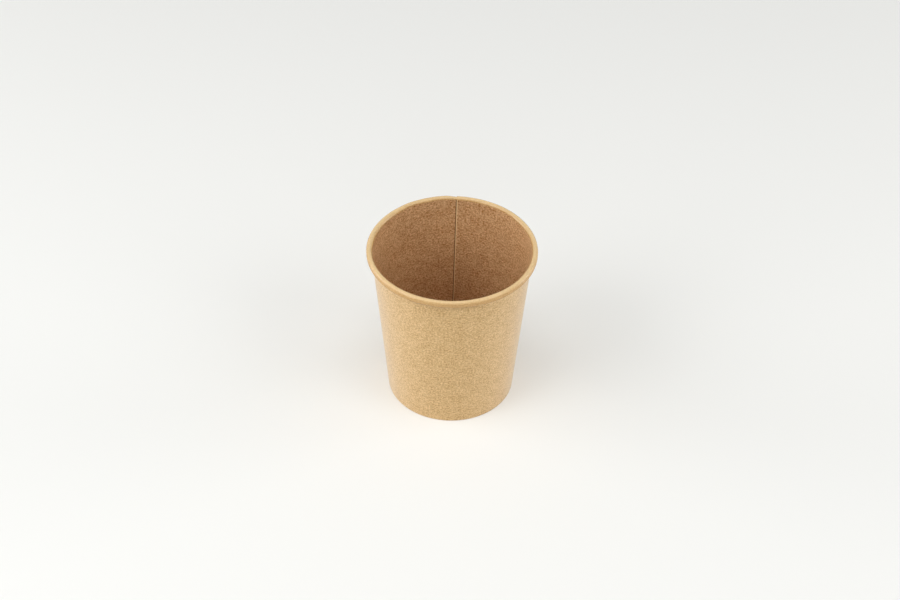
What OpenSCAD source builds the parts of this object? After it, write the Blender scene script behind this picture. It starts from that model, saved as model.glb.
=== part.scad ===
// Soup cup of kraft paperboard, in millimetres.
// The cup stands on the table at z = 0, with its axis on Z and its side seam at the back (+Y).
// It is made of two pieces of board: the side wall, wrapped round and rolled at the rim,
// and the bottom disc, whose skirt is held in the folded hem of the wall.

/* [Size] */
// Outer width across the rolled rim (mm)
rim_d = 98; // [90:1:110]
// Outer width at the standing edge (mm)
base_d = 75; // [66:1:80]
// Height from the table to the top of the rim (mm)
cup_h = 102; // [80:1:130]

/* [Board] */
// Thickness of the wall's board (mm)
wall_t = 0.4; // [0.3:0.05:0.5]
// Thickness of the bottom's board (mm)
disc_t = 0.35; // [0.3:0.05:0.45]

/* [Side seam] */
// Width of the overlap, halfway up the wall (mm)
lap_w = 9; // [6:1:14]
// Depth to which the sealed layers are pressed into each other (mm)
lap_squeeze = 0.05; // [0.03:0.01:0.1]
// Turn of the inner cut edge to the right of straight back (degrees)
seam_turn = 3; // [-20:1:20]

/* [Rolled rim] */
// Width of the roll, wall included (mm)
roll_w = 3.2; // [2.8:0.1:3.6]
// Height of the roll (mm)
roll_h = 4; // [3.5:0.1:4.8]
// Outer radius of the roll's two lower corners (mm)
roll_corner = 1.1; // [0.8:0.1:1.2]
// Length of the board's edge tucked up inside the roll (mm)
tuck_h = 0.9; // [0.4:0.1:1]

/* [Base] */
// Depth of the bottom disc above the standing edge (mm)
recess = 9; // [7.5:0.5:12]
// Height of the hem folded up inside the wall (mm)
hem_h = 6; // [4:0.5:6]
// Outer radius of the bend between disc and skirt (mm)
disc_bend = 0.8; // [0.6:0.1:1]
// Free play on each side of the skirt in the hem (mm)
fit = 0.05; // [0.03:0.01:0.1]
// Depth to which the standing edge is pressed flat (mm)
foot_press = 0.06; // [0.02:0.01:0.1]

/* [Hidden] */
$fn = 96;
// Largest turn between two points of a bend's section (degrees)
bend_step = 15;
kraft = [0.76, 0.60, 0.42];
kraft_in = [0.66, 0.49, 0.33];

// Half of the seam's step: the wall's two half turns have centres this far apart
shift = (wall_t - lap_squeeze) / 2;

// Hem: a U bend round the skirt, wide enough for the skirt wherever the wall spirals
hem_in = disc_t / 2 + shift + fit;
hem_out = hem_in + wall_t;
hem_c = [base_d / 2 - hem_out, hem_out - foot_press];

// Roll: a half circle on top, a short drop and two lower corners
roll_r = roll_w / 2;
roll_c = [rim_d / 2 - roll_r, cup_h - roll_r];
// Gap between the wall's outer face and the roll's tucked corner (mm)
tuck_gap = 0.1;
// Shortest flat stretch between the roll's two lower corners (mm)
corner_flat = 0.1;
corner_r = min(roll_corner, (roll_w - wall_t - tuck_gap - corner_flat) / 2);
roll_z = cup_h - roll_h;
corner_c = [rim_d / 2 - corner_r, roll_z + corner_r];

// Slope of the wall: its inner face touches the roll's half circle, its outer face the hem's bend
rise = roll_c - hem_c;
slope = acos((hem_out + roll_r - wall_t) / norm(rise)) - atan2(rise[1], rise[0]);

// Distance of a section point from the axis, measured square to the wall, and the way back
function across(p) = p[0] * cos(slope) - p[1] * sin(slope);
function at_height(d, z) = [(d + z * sin(slope)) / cos(slope), z];

// The roll's tucked corner lies just off the outer face of the wall
tuck_c = at_height(across(roll_c) - roll_r + wall_t + tuck_gap + corner_r, roll_z + corner_r);

// Outer layer in the overlap: its top edge lies in the roll's tucked corner, below the corner's
// centre by this share of its radius
lap_sink = 0.3;
lap_len = (corner_c[1] - lap_sink * corner_r - hem_c[1]) / cos(slope);

// Bend of the disc: its skirt lies against the inner face of the wall's first half turn
skirt_face = across(hem_c - [shift, 0]) + hem_in - fit;
bend_c = at_height(skirt_face - disc_bend, recess + disc_t - disc_bend);
skirt_len = (bend_c - hem_c + [shift, 0]) * [sin(slope), cos(slope)];

// The overlap's width as an angle, at the radius halfway up the wall
mid_r = (rim_d + base_d) / 4;
lap_a = lap_w / mid_r * 180 / PI;

// Point x across and y up from c, in the directions square to the wall and along it
function along(c, x, y) = c + x * [cos(slope), -sin(slope)] + y * [sin(slope), cos(slope)];

// Points of an arc about c, from angle a0 to a1
function arc(c, r, a0, a1) = let (n = ceil(abs(a1 - a0) / bend_step))
    [for (k = [0:n]) c + r * [cos(a0 + (a1 - a0) * k / n), sin(a0 + (a1 - a0) * k / n)]];

// Keeps the points of the standing edge on or above the table
function pressed(points) = [for (p = points) [p[0], max(p[1], 0)]];

// Hem and pressed bend: the face that turns outwards, then the face that holds the skirt
hem_outer = concat([along(hem_c, -hem_out, hem_h)], pressed(arc(hem_c, hem_out, 180 - slope, 360 - slope)));
hem_inner = concat(arc(hem_c, hem_in, 360 - slope, 180 - slope), [along(hem_c, -hem_in, hem_h)]);

// Top of the outer layer in the overlap, also kept as points of the whole board's section so
// that the two sections meet exactly
lap_outer = along(hem_c, hem_out, lap_len);
lap_inner = along(hem_c, hem_in, lap_len);

// Section of the whole board: up the wall's outer face, round the hollow of the roll to the
// tucked edge, and back over the roll's outside and down the wall's inner face
module wall_section() {
    polygon(concat(
        hem_outer,
        [lap_outer],
        arc(roll_c, roll_r - wall_t, 180 - slope, 0),
        arc(corner_c, corner_r - wall_t, 0, -90),
        arc(tuck_c, corner_r - wall_t, -90, -180 - slope),
        [along(tuck_c, wall_t - corner_r, tuck_h), along(tuck_c, -corner_r, tuck_h)],
        arc(tuck_c, corner_r, -180 - slope, -90),
        arc(corner_c, corner_r, -90, 0),
        arc(roll_c, roll_r, 0, 180 - slope),
        [lap_inner],
        hem_inner
    ));
}

// Section of the outer layer in the overlap, which ends inside the roll's tucked corner
module lap_section() {
    polygon(concat(
        hem_outer,
        [lap_outer, lap_inner],
        hem_inner
    ));
}

// Section of the bottom disc with its skirt turned down
module disc_section() {
    polygon(concat(
        [[0, recess + disc_t]],
        arc(bend_c, disc_bend, 90, -slope),
        [along(bend_c, disc_bend, -skirt_len), along(bend_c, disc_bend - disc_t, -skirt_len)],
        arc(bend_c, disc_bend - disc_t, -slope, 90),
        [[0, recess]]
    ));
}

// Both pieces are drawn with the seam's inner edge on +X, then turned to the back.
// The second half turn of the wall reaches out further, so the whole is moved to stay centred.
module place() {
    rotate(90 - seam_turn) translate([0, -shift / 2, 0]) children();
}

// The wall is a slow spiral of two half turns; the second passes outside the first at the seam
module side_wall() {
    color(kraft) place() {
        translate([-shift, 0, 0])
            rotate_extrude(angle = 180, start = 180) translate([-shift, 0]) wall_section();
        rotate_extrude(angle = 180) wall_section();
        rotate_extrude(angle = lap_a, start = -lap_a) lap_section();
    }
}

// The disc shares its centre with the wall's first half turn
module bottom_disc() {
    color(kraft_in) place() translate([-shift, 0, 0]) rotate_extrude() disc_section();
}

side_wall();
bottom_disc();
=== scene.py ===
# %% [markdown]
# # A kraft soup cup
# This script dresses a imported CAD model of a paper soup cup: a tapered cup of brown kraft board, open at
# the top, with a rolled rim. The real cup is two pieces of board. The side wall is one blank, wrapped once
# round, sealed in a narrow overlap, rolled outwards at the top and folded in at the foot. The bottom disc
# sits in that fold. The CAD model gives the place and size of both, and each step below adds what makes
# them look like paperboard.

# %% Load the frame
import math

import bpy
import numpy as np
from mathutils import Matrix, Vector


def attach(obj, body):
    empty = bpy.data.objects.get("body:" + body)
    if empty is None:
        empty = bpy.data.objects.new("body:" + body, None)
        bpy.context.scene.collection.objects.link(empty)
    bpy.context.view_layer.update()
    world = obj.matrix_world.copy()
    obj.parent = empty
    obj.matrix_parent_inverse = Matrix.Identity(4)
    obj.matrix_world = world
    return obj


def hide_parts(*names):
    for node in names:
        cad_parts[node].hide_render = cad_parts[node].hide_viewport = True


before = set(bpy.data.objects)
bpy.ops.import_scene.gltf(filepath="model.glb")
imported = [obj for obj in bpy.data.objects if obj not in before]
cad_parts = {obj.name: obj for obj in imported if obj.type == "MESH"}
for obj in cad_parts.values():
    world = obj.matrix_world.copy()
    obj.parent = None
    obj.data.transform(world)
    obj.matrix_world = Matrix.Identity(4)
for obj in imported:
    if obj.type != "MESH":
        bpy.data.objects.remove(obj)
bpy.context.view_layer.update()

MM = 0.001

# %% [markdown]
# ## The camera
# A camera placed by eye never quite lines up with a photograph. Here the outline of the cup in the photo
# was measured, and the focal length, distance, pitch and roll that bring the model's rim and foot onto it
# were found by least squares. The picture is 900 pixels wide, and the sensor is 36 mm, so a focal length
# in pixels becomes one in millimetres. The camera looks along +Y and down by about 41 degrees.

# %% Camera
PICTURE_WIDTH = 900
FOCAL_PIXELS = 1733.2
PITCH, ROLL = math.radians(40.9), math.radians(0.71)
DISTANCE, ASIDE, ABOVE = 1.0190, -0.00075, 0.0084
CUP_MIDDLE = Vector((0, 0, 0.051))

level = Vector((1, 0, 0))
upward = Vector((0, math.sin(PITCH), math.cos(PITCH)))
look = Vector((0, math.cos(PITCH), -math.sin(PITCH)))
cam_x = math.cos(ROLL) * level + math.sin(ROLL) * upward
cam_y = math.cos(ROLL) * upward - math.sin(ROLL) * level
cam_place = CUP_MIDDLE - DISTANCE * look + ASIDE * cam_x + ABOVE * cam_y

camera = bpy.data.objects.new("camera", bpy.data.cameras.new("camera"))
camera.data.sensor_width = 36
camera.data.lens = FOCAL_PIXELS * 36 / PICTURE_WIDTH
camera.matrix_world = Matrix((
    (cam_x[0], cam_y[0], -look[0], cam_place[0]),
    (cam_x[1], cam_y[1], -look[1], cam_place[1]),
    (cam_x[2], cam_y[2], -look[2], cam_place[2]),
    (0, 0, 0, 1),
))
bpy.context.scene.collection.objects.link(camera)
bpy.context.scene.camera = camera
print("lens in mm:", round(camera.data.lens, 1), "camera at", [round(v, 3) for v in cam_place])

# %% [markdown]
# ## Colours and nodes
# Colours are written as the hex values that a colour picker shows, and one function turns them into the
# linear values that the renderer counts in. One more small function adds a shader node: its own settings
# are given by name, and what goes into its sockets is a number, a colour or another node's output.

# %% Helpers for materials
def linear(code):
    parts = [int(code[k:k + 2], 16) / 255 for k in (1, 3, 5)]
    return [p / 12.92 if p <= 0.04045 else ((p + 0.055) / 1.055) ** 2.4 for p in parts] + [1]


def add(tree, kind, sockets=None, **settings):
    made = tree.nodes.new("ShaderNode" + kind)
    for name, value in settings.items():
        setattr(made, name, value)
    for socket, value in (sockets or {}).items():
        if isinstance(value, bpy.types.NodeSocket):
            tree.links.new(value, made.inputs[socket])
        else:
            made.inputs[socket].default_value = value
    return made


def mixed(tree, factor, first, second):
    return add(tree, "Mix", {0: factor, 6: first, 7: second}, data_type="RGBA").outputs[2]


def empty_material(name):
    material = bpy.data.materials.new(name)
    material.use_nodes = True
    material.node_tree.nodes.clear()
    return material


print("white in the renderer's own values:", linear("#FFFFFF"))

# %% [markdown]
# ## Kraft board
# Kraft board is pressed from unbleached wood pulp. Close up it isn't one brown: the pulp lies in soft
# clouds a few millimetres wide, over them is a stronger mottle of about a millimetre, and single fibres
# show as short light or dark hairs, with now and then a dark speck of bark. Real fibres are 2 to 3 mm long
# and only 0.03 mm thick, which is finer than a pixel here, so they are drawn about 0.3 mm thick.
# The pattern is drawn flat, in millimetres on the blank, as it was before the cup was wrapped. Each layer is
# noise at its own scale, and the fibres are noise stretched ten times along one direction.

# %% Kraft pattern
CLOUD_SIZE, MOTTLE_SIZE, BARK_SPACING = 6, 1.1, 6
CLOUD_SHARE = 0.14
CONTRAST_FROM, CONTRAST_TO = 0.375, 0.625
FIBRE_LENGTH, FIBRE_WIDTH = 3.0, 0.3
FIBRE_FROM, FIBRE_TO = 0.66, 0.74
BARK_CORE, BARK_EDGE, BARK_COLOUR = 0.035, 0.07, "#6B4A2C"


def kraft_colour(tree, place, base, shade, fibre_light, fibre_dark):
    clouds = add(tree, "TexNoise", {"Vector": place, "Scale": 1 / CLOUD_SIZE, "Detail": 2, "Roughness": 0.5})
    mottle = add(tree, "TexNoise", {"Vector": place, "Scale": 1 / MOTTLE_SIZE, "Detail": 4, "Roughness": 0.7})
    both = add(tree, "Math", {0: clouds.outputs["Fac"], 1: CLOUD_SHARE}, operation="MULTIPLY")
    both = add(tree, "Math", {
        0: mottle.outputs["Fac"], 1: 1 - CLOUD_SHARE, 2: both.outputs[0],
    }, operation="MULTIPLY_ADD")
    depth = add(tree, "MapRange", {
        "Value": both.outputs[0], "From Min": CONTRAST_FROM, "From Max": CONTRAST_TO,
    })
    colour = mixed(tree, depth.outputs[0], linear(shade), linear(base))
    # Direction in degrees, colour and strength of each set of fibres
    sets = ((20, fibre_light, 0.5), (75, fibre_dark, 0.45), (140, fibre_light, 0.5), (105, fibre_dark, 0.4))
    for turn, tint, strength in sets:
        lie = add(tree, "Mapping", {
            "Vector": place, "Location": (turn, 3 * turn, 0), "Rotation": (0, 0, math.radians(turn)),
            "Scale": (1 / FIBRE_LENGTH, 1 / FIBRE_WIDTH, 1),
        })
        grain = add(tree, "TexNoise", {
            "Vector": lie.outputs[0], "Scale": 1.0, "Detail": 1, "Distortion": 0.4,
        })
        hair = add(tree, "MapRange", {
            "Value": grain.outputs["Fac"], "From Min": FIBRE_FROM, "From Max": FIBRE_TO, "To Max": strength,
        })
        colour = mixed(tree, hair.outputs[0], colour, linear(tint))
    bark = add(tree, "TexVoronoi", {"Vector": place, "Scale": 1 / BARK_SPACING, "Randomness": 1})
    speck = add(tree, "MapRange", {
        "Value": bark.outputs["Distance"], "From Min": BARK_CORE, "From Max": BARK_EDGE,
        "To Min": 0.5, "To Max": 0,
    })
    return mixed(tree, speck.outputs[0], colour, linear(BARK_COLOUR)), mottle.outputs["Fac"]


print("kraft pattern: mottle of", MOTTLE_SIZE, "mm, fibres of", FIBRE_LENGTH, "by", FIBRE_WIDTH, "mm")

# %% [markdown]
# ## The faces of the board
# The outside is bare. Light sinks in and scatters, and short fibres stand up from the surface, so it is
# matt with a soft sheen, like fine felt. Its tooth is a few hundredths of a millimetre deep. The inside
# carries a thin clear barrier film of polyethylene, extruded onto the board hot. Film fills the tooth, so
# this face is smoother and darker, as wet paper is. Polyethylene's index of refraction is 1.51, and that of
# paper's cellulose about 1.5. A cut edge shows the pale, fluffy inside of the board. At the seam, a narrow
# pale strip on the inner layer's face is the pale board of the cut and also painted highlight, where the
# edge catches light, and a dark strip beside it is painted shade, in the step where the two layers meet.
# Each board is given by its light and dark colour, the colours of its light and dark fibres, its
# roughness, the share of its tooth that is felt, its sheen and its index of refraction.

# %% Board materials
TOOTH_DEPTH = 0.05 * MM
SHEEN_ROUGHNESS = 0.45
PAPER_IOR, FILM_IOR = 1.5, 1.51


def on_blank(tree):
    return add(tree, "UVMap", uv_map="blank_mm").outputs[0]


def on_disc(tree):
    where = add(tree, "TexCoord").outputs["Object"]
    return add(tree, "Mapping", {"Vector": where, "Scale": (1 / MM, 1 / MM, 1 / MM)}).outputs[0]


def board(name, colours, roughness, tooth, sheen, ior, place=on_blank):
    material = empty_material(name)
    tree = material.node_tree
    colour, mottle = kraft_colour(tree, place(tree), *colours)
    bump = add(tree, "Bump", {"Height": mottle, "Strength": tooth, "Distance": TOOTH_DEPTH})
    shader = add(tree, "BsdfPrincipled", {
        "Base Color": colour, "Roughness": roughness, "IOR": ior, "Normal": bump.outputs[0],
        "Sheen Weight": sheen, "Sheen Roughness": SHEEN_ROUGHNESS,
    })
    add(tree, "OutputMaterial", {"Surface": shader.outputs[0]})
    return material


BARE = ("#E4C189", "#A97D31", "#EBD4A6", "#8A6639")
FILMED = ("#E4BD91", "#966021", "#E8CA9A", "#7A5230")
# The board's pale core; on the strip at the seam it also stands for a painted highlight of the cut edge
CUT = ("#F0D5A6", "#DDBD8A", "#F8E6C0", "#C09A6C")
# Colours of the painted shade in the seam's step, darker than the filmed face
SEAM_SHADE_COLOURS = ("#8A6540", "#68482A", "#9A7448", "#523820")
bare_board = board("kraft_board_bare", BARE, 0.55, 0.6, 0.6, PAPER_IOR)
filmed_board = board("kraft_board_filmed", FILMED, 0.38, 0.3, 0, FILM_IOR)
cut_board = board("kraft_board_cut_edge", CUT, 0.95, 1.0, 0, PAPER_IOR)
disc_board = board("kraft_board_disc", FILMED, 0.45, 0.3, 0, FILM_IOR, on_disc)
# Painted shade for the step beside the seam
seam_shade_board = board("kraft_board_seam_painted_shade", SEAM_SHADE_COLOURS, 0.5, 0.3, 0, FILM_IOR)
print("board materials:", [m.name for m in (bare_board, filmed_board, cut_board, disc_board, seam_shade_board)])

# %% [markdown]
# ## The shape of the side wall
# The wall could keep its CAD mesh, but four things need a finer one: the slight waves along the inner edge
# of the roll, the slight lean of the seam, the way the second layer dives under the first there, and flat
# coordinates for the kraft pattern. So the sheet is swept again here, with the same sizes as the CAD part.
# First come the sizes, in millimetres, and the slope of the wall, which touches the roll's half circle
# with its inner face and the hem's bend with its outer face.

# %% Sizes of the sheet
RIM_D, BASE_D, CUP_H = 98.0, 75.0, 102.0
BOARD_T, DISC_T, SQUEEZE, FIT, PRESS = 0.4, 0.35, 0.05, 0.05, 0.06
ROLL_W, ROLL_H, CORNER_R, TUCK_GAP, TUCK_H = 3.2, 4.0, 1.1, 0.1, 0.9
HEM_H, LAP_W, SEAM_TURN = 6.0, 9.0, 3.0

STEP = BOARD_T - SQUEEZE
SHIFT = STEP / 2
HEM_IN = DISC_T / 2 + SHIFT + FIT
HEM_OUT = HEM_IN + BOARD_T
HEM_C = np.array([BASE_D / 2 - HEM_OUT, HEM_OUT - PRESS])
ROLL_R = ROLL_W / 2
ROLL_C = np.array([RIM_D / 2 - ROLL_R, CUP_H - ROLL_R])
CORNER_C = np.array([RIM_D / 2 - CORNER_R, CUP_H - ROLL_H + CORNER_R])
rise = ROLL_C - HEM_C
SLOPE = math.acos((HEM_OUT + ROLL_R - BOARD_T) / np.hypot(*rise)) - math.atan2(rise[1], rise[0])
ACROSS = np.array([math.cos(SLOPE), -math.sin(SLOPE)])
ALONG = np.array([math.sin(SLOPE), math.cos(SLOPE)])
tuck_across = ROLL_C @ ACROSS - ROLL_R + BOARD_T + TUCK_GAP + CORNER_R
TUCK_C = np.array([(tuck_across + CORNER_C[1] * math.sin(SLOPE)) / math.cos(SLOPE), CORNER_C[1]])
WALL_LEN = rise @ ALONG
LAP_DEG = math.degrees(LAP_W / ((RIM_D + BASE_D) / 4))
print("wall leans out by", round(math.degrees(SLOPE), 2), "degrees")
print("overlap spans", round(LAP_DEG, 1), "degrees")

# %% [markdown]
# ## One section of the sheet
# A section is a path through the board's thickness, from the hem's edge to the edge tucked into the roll.
# For each point of the path there are two: one on the face that is bare and one on the face with the film.
# `inset` shrinks the roll inside itself, for the layer that lies under another one at the seam. `wave`
# pushes the inner edge of the roll outwards a little, as the board buckles when it is stretched round.

# %% Section
WAVE_LEN = 5
HEM_POINTS, HEM_BEND_POINTS, LOW_POINTS, HIGH_POINTS = 5, 13, 16, 10
ROLL_POINTS, CORNER_POINTS = 19, 7
WALL_START = HEM_POINTS + HEM_BEND_POINTS
ROLL_START = WALL_START + LOW_POINTS + HIGH_POINTS
ROLL_END = ROLL_START + ROLL_POINTS - 1


def ease(x):
    x = np.clip(x, 0, 1)
    return x * x * (3 - 2 * x)


def arc(centre, radii, start, stop, count):
    angles = np.linspace(start, stop, count)
    ring = np.stack([np.cos(angles), np.sin(angles)], 1)
    return [(centre + radii[0] * p, centre + radii[1] * p) for p in ring]


def section(inset=0.0, wave=0.0):
    under = np.array([-inset, 0])
    bulge = np.array([wave, wave])
    push = wave * (1 + ACROSS.sum())
    tuck = TUCK_C + under + push * ACROSS
    t, pi = BOARD_T, math.pi
    path = []
    for y in np.linspace(HEM_H, HEM_H * 0.1, HEM_POINTS):
        path.append((HEM_C - HEM_OUT * ACROSS + y * ALONG, HEM_C - HEM_IN * ACROSS + y * ALONG))
    path += arc(HEM_C, (HEM_OUT, HEM_IN), pi - SLOPE, 2 * pi - SLOPE, HEM_BEND_POINTS)
    low = np.linspace(0.5, WALL_LEN - 8, LOW_POINTS)
    high = np.linspace(WALL_LEN - 7, WALL_LEN - 0.5, HIGH_POINTS)
    for y in np.concatenate([low, high]):
        lean = push * ease((y - WALL_LEN + WAVE_LEN) / WAVE_LEN) * ACROSS
        at = HEM_C + y * ALONG + lean
        path.append((at + HEM_OUT * ACROSS, at + HEM_IN * ACROSS))
    roll = ROLL_R - inset - wave
    path += arc(ROLL_C + under + bulge, (roll - t, roll), pi - SLOPE, 0, ROLL_POINTS)
    corner = CORNER_R - inset
    path += arc(CORNER_C + under, (corner - t, corner), 0, -pi / 2, CORNER_POINTS)
    path += arc(tuck, (corner - t, corner), -pi / 2, -pi - SLOPE, CORNER_POINTS)
    for y in (TUCK_H / 2, TUCK_H):
        top = tuck + y * ALONG
        path.append((top - (corner - t) * ACROSS, top - corner * ACROSS))
    path = np.array(path)
    path[:, :, 1] = np.maximum(path[:, :, 1], 0)
    return path


sample = section()
steps = np.linalg.norm(np.diff(sample.mean(1), axis=0), axis=1)
lengths = np.concatenate([[0], np.cumsum(steps)])
print("points along the path:", len(sample), "height:", round(sample[:, :, 1].max(), 2), "mm")
print("the sheet's path is", round(lengths[-1], 1), "mm long")

# %% [markdown]
# ## The rolled rim
# On the roll, the filmed face turns outwards. The board is stretched over the roll's top, which polishes it,
# so this stretch has a lower roughness. A pale band on the half circle is painted highlight, where the
# roll's top faces the light. A dark band on the lower corner is painted shade, where the roll meets the
# wall. Both bands are set by the distance along the sheet's path: a smooth hump between two distances.

# %% Rolled rim
ROLLED = ("#CDA56C", "#B38950", "#DEC292", "#A07C4E")
# Where the painted shade on the roll's lower corner starts and stops, in mm past the half circle
UNDER_ROLL_SHADE_FROM, UNDER_ROLL_SHADE_TO = 1.3, 3.5


# Mixes a band of painted highlight or painted shade into the board's colour
def painted_light_band(material, start, stop, tint, strength):
    tree = material.node_tree
    shader = tree.nodes["Principled BSDF"]
    board_colour = shader.inputs["Base Color"].links[0].from_socket
    where = add(tree, "SeparateXYZ", {"Vector": on_blank(tree)})
    through = add(tree, "MapRange", {
        "Value": where.outputs["Y"], "From Min": start, "From Max": stop,
    }, interpolation_type="SMOOTHSTEP")
    hump = add(tree, "Math", {0: through.outputs[0], 1: math.pi}, operation="MULTIPLY")
    hump = add(tree, "Math", {0: hump.outputs[0]}, operation="SINE")
    hump = add(tree, "Math", {0: hump.outputs[0], 1: strength}, operation="MULTIPLY")
    toned = mixed(tree, hump.outputs[0], board_colour, linear(tint))
    tree.links.new(toned, shader.inputs["Base Color"])


rim_board = board("kraft_board_rolled_rim", ROLLED, 0.25, 0.15, 0, FILM_IOR)
# Painted highlight: a pale band over the roll's top half circle
painted_light_band(rim_board, lengths[ROLL_START], lengths[ROLL_END], "#F9DEAA", 0.5)
# Painted shade: a dark band on the roll's lower corner, where it meets the wall
painted_light_band(rim_board, lengths[ROLL_END] + UNDER_ROLL_SHADE_FROM, lengths[ROLL_END] + UNDER_ROLL_SHADE_TO, "#4A3018", 0.85)
print("half circle of the roll, in mm along the path:", lengths[[ROLL_START, ROLL_END]].round(1))

# %% [markdown]
# ## Round the cup
# The sheet is a slow spiral of two half turns, as in the CAD part. It starts at the seam with the inner
# cut edge, goes clockwise, and passes outside its own start for the width of the overlap. The outer
# layer's roll lies inside that of the inner one there, so its inset grows over the last few degrees.
# The seam leans a little, 1.5 degrees round over the 78 mm of wall that the photo shows, as a blank wrapped
# slightly askew does. The waves of the roll are a table of turns and depths, strongest at the left of the
# back, where the photo shows them.

# %% Sweep the sheet
# From which to which turn, in degrees, the pale cut line with its painted highlight and the painted shade
# beside it show
CUT_LINE_AND_HIGHLIGHT, SEAM_SHADE = (0, 0.65), (359.2, 360)
DIVE_FROM, DIVE_LEN = 352, 8
SEAM_LEAN = 1.5 / 78
turns = np.concatenate([
    CUT_LINE_AND_HIGHLIGHT, np.arange(1.5, 348, 1.0), np.arange(348, 358, 0.5), [358, 358.5, 358.9, 359.2, 359.6, 360],
    np.arange(360.5, 360 + LAP_DEG, 0.5), [360 + LAP_DEG],
])

# Turn in degrees, and how far the roll's inner edge lies outside (+) or inside (-) its true circle, in mm
WAVES = (
    (0, 0), (8, -0.04), (26, -0.05), (32, 0.04), (44, 0.04), (50, -0.06), (64, -0.07), (75, 0.03), (98, 0),
    (112, -0.03), (131, 0.03), (150, -0.03), (171, 0.02), (195, -0.03), (214, 0.02), (236, -0.02),
    (252, 0.02), (262, -0.08), (272, -0.26), (300, -0.3), (311, -0.24), (318, -0.2), (321, 0.05),
    (329, 0.06), (331.5, -0.08), (341, -0.1), (343.5, 0.05), (348, 0.04), (352, 0), (360 + LAP_DEG, 0),
)


def swept(turn):
    inset = STEP * ease((turn - DIVE_FROM) / DIVE_LEN)
    path = section(float(inset), float(np.interp(turn, *zip(*WAVES))))
    off_centre = SHIFT if turn <= 180 else 0
    radius = path[:, :, 0] - off_centre
    a = np.radians(SEAM_LEAN * (CUP_H - path[:, :, 1]) - turn)
    x = radius * np.cos(a) - off_centre
    y = radius * np.sin(a) - SHIFT / 2
    b = math.radians(90 - SEAM_TURN)
    x, y = x * math.cos(b) - y * math.sin(b), x * math.sin(b) + y * math.cos(b)
    return np.stack([x, y, path[:, :, 1]], 2)


rings = np.array([swept(turn) for turn in turns])
print("sheet grid:", rings.shape[:2], "lowest and highest in mm:", rings[..., 2].min(), rings[..., 2].max())

# %% [markdown]
# ## From the grid to a mesh
# Each face of the board is a grid of quads, joined along the four cut edges. Every quad gets its material
# and flat coordinates in millimetres: the distance round the cup and the distance along the path. The
# filmed face takes its pattern from another place on the blank than the bare one, as the two faces of a
# board differ. Cut edges stay flat-shaded, so they read as crisp cuts.

# %% Mesh of the side wall
OTHER_FACE = 400
WALL_BOARDS = (bare_board, filmed_board, cut_board, seam_shade_board, rim_board)
BARE_FACE, FILMED_FACE, CUT_FACE, SEAM_SHADE_FACE, RIM_FACE = range(len(WALL_BOARDS))


def kind_of_face(side, turn, j):
    if side == 0:
        return BARE_FACE
    if j >= ROLL_START:
        return RIM_FACE
    # Painted shade in the step beside the seam
    if j > WALL_START and SEAM_SHADE[0] <= turn < SEAM_SHADE[1]:
        return SEAM_SHADE_FACE
    # The pale cut line, which also carries a painted highlight of the edge
    if j > WALL_START and CUT_LINE_AND_HIGHLIGHT[0] <= turn < CUT_LINE_AND_HIGHLIGHT[1]:
        return CUT_FACE
    return FILMED_FACE


def sheet_mesh(name, grid):
    rows, cols = grid.shape[:2]
    around = np.radians(turns) * (RIM_D + BASE_D) / 4
    quads, kinds, flats = [], [], []

    def at(i, j, side):
        return (i * cols + j) * 2 + side

    def face(corners, spots, kind, turned):
        way = -1 if turned else 1
        quads.append(corners[::way])
        flats.append(spots[::way])
        kinds.append(kind)

    for i in range(rows - 1):
        for j in range(cols - 1):
            for side in (0, 1):
                u0, u1 = around[i] + OTHER_FACE * side, around[i + 1] + OTHER_FACE * side
                corners = [at(i, j, side), at(i, j + 1, side), at(i + 1, j + 1, side), at(i + 1, j, side)]
                spots = [(u0, lengths[j]), (u0, lengths[j + 1]), (u1, lengths[j + 1]), (u1, lengths[j])]
                face(corners, spots, kind_of_face(side, turns[i], j), side == 0)
    for i in range(rows - 1):
        for j in (0, cols - 1):
            corners = [at(i, j, 0), at(i, j, 1), at(i + 1, j, 1), at(i + 1, j, 0)]
            spots = [(around[i], 0), (around[i], BOARD_T), (around[i + 1], BOARD_T), (around[i + 1], 0)]
            face(corners, spots, CUT_FACE, j > 0)
    for j in range(cols - 1):
        for i in (0, rows - 1):
            corners = [at(i, j, 0), at(i, j + 1, 0), at(i, j + 1, 1), at(i, j, 1)]
            spots = [(0, lengths[j]), (0, lengths[j + 1]), (BOARD_T, lengths[j + 1]), (BOARD_T, lengths[j])]
            face(corners, spots, CUT_FACE, i > 0)
    mesh = bpy.data.meshes.new(name)
    mesh.from_pydata((grid.reshape(-1, 3) * MM).tolist(), [], quads)
    mesh.polygons.foreach_set("material_index", kinds)
    mesh.polygons.foreach_set("use_smooth", [kind != CUT_FACE for kind in kinds])
    blank = mesh.uv_layers.new(name="blank_mm")
    blank.data.foreach_set("uv", np.array(flats, dtype=np.float32).ravel())
    mesh.update()
    return mesh


wall = bpy.data.objects.new("wall_sheet", sheet_mesh("wall_sheet", rings))
bpy.context.scene.collection.objects.link(wall)
for material in WALL_BOARDS:
    wall.data.materials.append(material)
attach(wall, "root")
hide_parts("side_wall")
print("side wall:", len(wall.data.polygons), "quads")

# %% [markdown]
# ## The bottom disc
# The disc's CAD shape is right as it is: a flat round of board with its edge turned down. It only needs its
# material, drawn in millimetres across the disc.

# %% Bottom disc
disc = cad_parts["bottom_disc"]
for slot in disc.material_slots:
    slot.material = disc_board

# %% [markdown]
# ## The floor
# The photo was taken on a white sheet. A large plain floor stands for it and takes the cup's shadow. A
# quarter of what the camera sees of the floor is its own pale colour, whatever the light, so it reads as
# white without more light on the cup. Mirror-like and clear surfaces get the same view of it as the camera.

# %% Floor
FLOOR_HALF = 6
PALE_SHARE = 0.25


def seen_ray(tree):
    ray = add(tree, "LightPath").outputs
    seen = add(tree, "Math", {0: ray["Is Camera Ray"], 1: ray["Is Glossy Ray"]}, operation="MAXIMUM")
    seen = add(tree, "Math", {0: seen.outputs[0], 1: ray["Is Transmission Ray"]}, operation="MAXIMUM")
    return seen.outputs[0]


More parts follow.
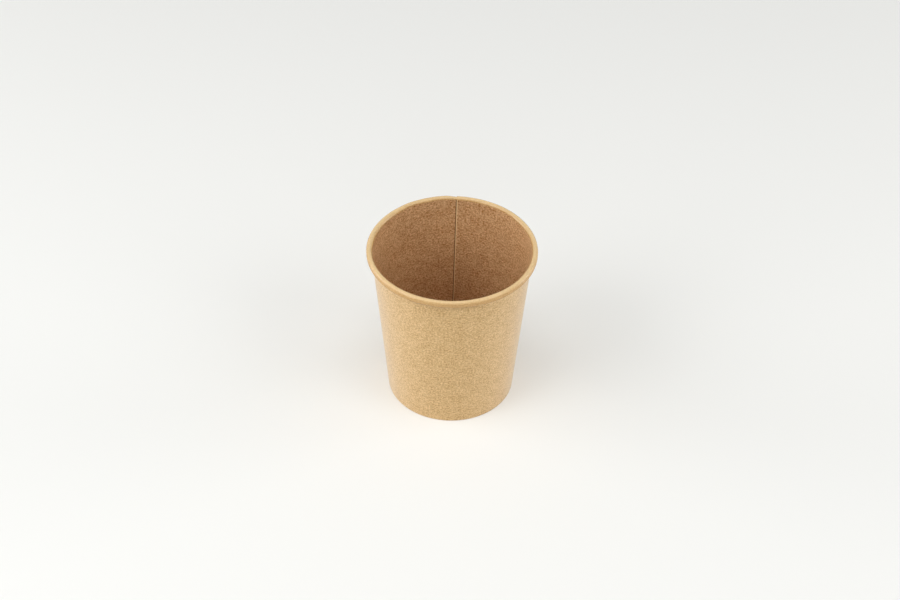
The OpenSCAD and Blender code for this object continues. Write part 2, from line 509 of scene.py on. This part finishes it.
floor_mesh = bpy.data.meshes.new("floor")
corners = [(x * FLOOR_HALF, y * FLOOR_HALF, 0) for x, y in ((-1, -1), (1, -1), (1, 1), (-1, 1))]
floor_mesh.from_pydata(corners, [], [(0, 1, 2, 3)])
floor = bpy.data.objects.new("floor", floor_mesh)
bpy.context.scene.collection.objects.link(floor)
sheet = empty_material("white_sheet")
tree = sheet.node_tree
matt = add(tree, "BsdfDiffuse", {"Color": linear("#F4F4F1")})
white = add(tree, "Emission", {"Color": linear("#F6F7F4"), "Strength": 1.0})
share = add(tree, "Math", {0: seen_ray(tree), 1: PALE_SHARE}, operation="MULTIPLY")
paper = add(tree, "MixShader", {0: share.outputs[0], 1: matt.outputs[0], 2: white.outputs[0]})
add(tree, "OutputMaterial", {"Surface": paper.outputs[0]})
floor_mesh.materials.append(sheet)
print("floor:", 2 * FLOOR_HALF, "m wide")

# %% [markdown]
# ## The light
# The light in the photo is broad and soft. It comes from both sides, more from the left, with a little from
# the front and from above, and the cup's front is lit mostly from the sides. Large round lamps stand in a
# ring round the cup, each given by its direction (0 is the camera's side, positive to the right), its height
# in degrees and its power in watts. One picture was made with each lamp alone, and the powers are those
# whose sum comes closest to the brightness of the cup, the floor and the shadow in the photo. The world
# gives a weak even light. Seen by the camera, past the floor's edge, it has the floor's pale colour.

# %% Light
WORLD_LIGHT = 0.27
LAMP_AWAY = 1.6
LAMP_SIZE, TOP_LAMP_SIZE = 0.9, 0.8
LAMPS = (
    (-100, 10, 9.0), (-80, 38, 2.8), (-60, 38, 4.8), (-50, 22, 1.8), (-50, 48, 2.8), (0, 30, 1.8),
    (30, 38, 0.9), (60, 38, 6.0), (100, 10, 9.0),
)
world = bpy.data.worlds.new("soft_room")
world.use_nodes = True
tree = world.node_tree
tree.nodes.clear()
glow = add(tree, "Background", {"Color": (1, 1, 1, 1), "Strength": WORLD_LIGHT})
pale = add(tree, "Background", {"Color": linear("#F4F4F1"), "Strength": 1.0})
room = add(tree, "MixShader", {0: seen_ray(tree), 1: glow.outputs[0], 2: pale.outputs[0]})
add(tree, "OutputWorld", {"Surface": room.outputs[0]})
bpy.context.scene.world = world


def lamp(name, azimuth, elevation, size, power):
    a, e = math.radians(azimuth), math.radians(elevation)
    away = Vector((math.cos(e) * math.sin(a), -math.cos(e) * math.cos(a), math.sin(e)))
    data = bpy.data.lights.new(name, "AREA")
    data.shape, data.size, data.energy = "DISK", size, power
    made = bpy.data.objects.new(name, data)
    made.location = CUP_MIDDLE + LAMP_AWAY * away
    made.rotation_euler = (-away).to_track_quat("-Z", "Y").to_euler()
    bpy.context.scene.collection.objects.link(made)


for azimuth, elevation, power in LAMPS:
    lamp(f"around_{azimuth % 360}_{elevation}", azimuth, elevation, LAMP_SIZE, power)
lamp("above", 0, 78, TOP_LAMP_SIZE, 4.6)
bpy.context.scene.view_settings.view_transform = "Standard"
